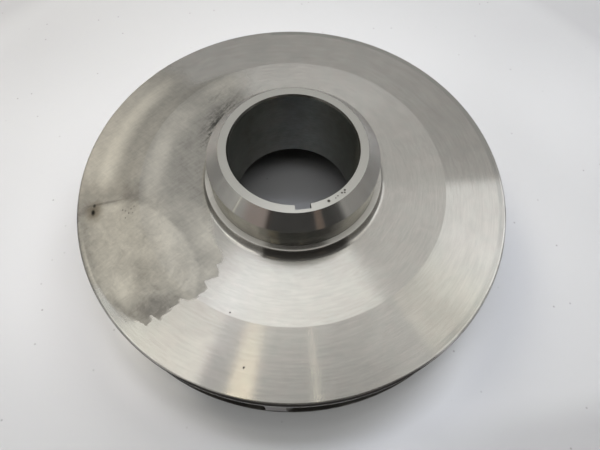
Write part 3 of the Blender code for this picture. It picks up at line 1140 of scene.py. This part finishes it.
def lamp(name, azimuth, around, outward, glow, distance=LAMP_DISTANCE):
    """A rectangular lamp that faces the impeller.

    around and outward are (from, to) on the unit sphere. glow is the lamp's colour and strength in one,
    and each square metre of a lamp whose glow is 1 takes WATTS_FOR_GLOW.
    """
    angle = math.radians(azimuth)
    tangent = Vector((math.cos(angle), math.sin(angle), 0))
    spoke = Vector((math.sin(angle), -math.cos(angle), 0))
    flat = tangent * (sum(around) / 2) + spoke * (sum(outward) / 2)
    way = Vector((flat.x, flat.y, math.sqrt(1 - flat.length_squared)))
    side = (tangent - way * tangent.dot(way)).normalized()
    up = way.cross(side)
    light = bpy.data.lights.new(name, "AREA")
    light.shape = "RECTANGLE"
    light.size = (around[1] - around[0]) / side.dot(tangent) * distance
    light.size_y = (outward[1] - outward[0]) / abs(up.dot(spoke)) * distance
    brightest = max(glow)
    light.color = [part / brightest for part in glow]
    light.energy = WATTS_FOR_GLOW * brightest * light.size * light.size_y
    thing = add_object(name, light)
    frame_of_lamp = Matrix((side, up, way)).transposed().to_4x4()
    thing.matrix_world = SPIN @ Matrix.Translation(way * distance + Vector((0, 0, RIM_PLANE))) @ frame_of_lamp
    print(f"{name}: {light.size:.2f} x {light.size_y:.2f} m, {light.energy:.0f} W")
    return thing


lamp("lamp_overhead_back", 34, (-0.05, 0.329), (-0.36, -0.25), (0.93, 0.97, 1.02))
lamp("lamp_overhead", 34, (-0.05, 0.329), (-0.25, -0.05), (0.40, 0.40, 0.36))
lamp("lamp_overhead_left", 34, (-0.35, -0.05), (-0.36, -0.05), (0.23, 0.22, 0.23))
lamp("lamp_right_back", 90, (0.27, 0.49), (0.50, 0.88), (0.42, 0.43, 0.44))
lamp("lamp_right_inner", 90, (0.05, 0.27), (0.50, 0.68), (0.35, 0.37, 0.36))
lamp("lamp_right_outer", 90, (0.05, 0.27), (0.68, 0.88), (0.64, 0.65, 0.66))
lamp("lamp_front_right", 33, (0.350, 0.60), (0.15, 0.40), (0.21, 0.20, 0.15))
stripe = lamp("lamp_stripe", -12, (-0.168, -0.08), (0.20, 0.38), (1.38, 1.20, 0.83))
front_left = lamp("lamp_front_left", -22, (-0.55, -0.226), (0.20, 0.38), (0.86, 0.85, 0.72))
lamp("lamp_front_left_far", -22, (-0.45, -0.226), (0.38, 0.60), (0.30, 0.27, 0.28))
thin = lamp("lamp_thin", 5.5, (0.0615, 0.0645), (0.15, 0.45), (4.7, 4.4, 3.5))
hub_line = lamp("lamp_hub_line", -40, (-0.404, -0.390), (0.72, 0.90), (1.0, 0.96, 0.80))
hub_left = lamp("lamp_hub_left", -58, (-0.60, -0.155), (0.72, 0.90), (0.20, 0.205, 0.195))
lamp("lamp_back_left", -135, (-0.02, 0.20), (0.75, 0.96), (0.75, 0.66, 0.50))
lamp("lamp_left", -90, (-0.40, 0.40), (0.60, 0.75), (0.82, 0.85, 0.81))

# %% [markdown]
# The bench needs lamps of its own, high up and mostly behind the impeller. They give it its glare and the
# short, crisp shadow in front. On the steel they would drown the wedges, so light linking lets them fall
# on the bench alone, while the impeller still blocks them. In the same way three of the lamps in front
# fall on the back shroud alone, and leave the hub's dark front as it is, and two low lamps on the left
# fall on the hub alone: a thin line and a soft wedge.

# %% Lamps for one piece alone
BENCH_LAMP_DISTANCE = 1.1
BENCH_LAMPS = (
    ("left", (-0.6, -0.3), (-0.80, -0.15), (6.6, 6.1, 5.2)),
    ("right", (0.3, 0.6), (-0.80, -0.15), (5.15, 5.3, 5.55)),
    ("middle", (-0.3, 0.3), (-0.34, -0.15), (7.3, 7.6, 9.1)),
    ("front", (-0.3, 0.3), (0.15, 0.45), (2.5, 2.5, 2.5)),
)


def light_alone(piece, lamps):
    """Lets these lamps fall on one piece and on nothing else."""
    receivers = bpy.data.collections.new(f"{piece.name}_only")
    receivers.objects.link(piece)
    for lit in lamps:
        lit.light_linking.receiver_collection = receivers
    print(f"{len(lamps)} lamps fall on {piece.name} alone")


light_alone(bench_top, [lamp("lamp_bench_" + name, 0, around, outward, glow, BENCH_LAMP_DISTANCE)
                        for name, around, outward, glow in BENCH_LAMPS])
light_alone(back, [stripe, thin, front_left])
light_alone(hub, [hub_line, hub_left])

# %% [markdown]
# ## The camera
#
# It looks down on the impeller from the front, a little to one side of the keyway and slightly tilted.
# Its place was worked out from the circles of the part as the photograph shows them.

# %% The camera
EYE = Vector((0, -146.75 * MM, 239.4 * MM + RIM_PLANE))
LOOK_AT = Vector((4.0 * MM, -28.1 * MM, RIM_PLANE))
ROLL = math.radians(2.1)
camera = add_object("camera", bpy.data.cameras.new("camera"))
camera.data.sensor_width = 36
camera.data.lens = 28.2
camera.data.clip_start = 0.01
camera.data.clip_end = 20
look = (LOOK_AT - EYE).normalized()
camera.matrix_world = SPIN @ Matrix.Translation(EYE) @ (
    look.to_track_quat("-Z", "Y").to_matrix().to_4x4() @ Matrix.Rotation(ROLL, 4, "Z"))
bpy.context.scene.camera = camera
bpy.context.scene.view_settings.view_transform = "Standard"
print("the camera is", round((LOOK_AT - EYE).length / MM), "mm from what it looks at")
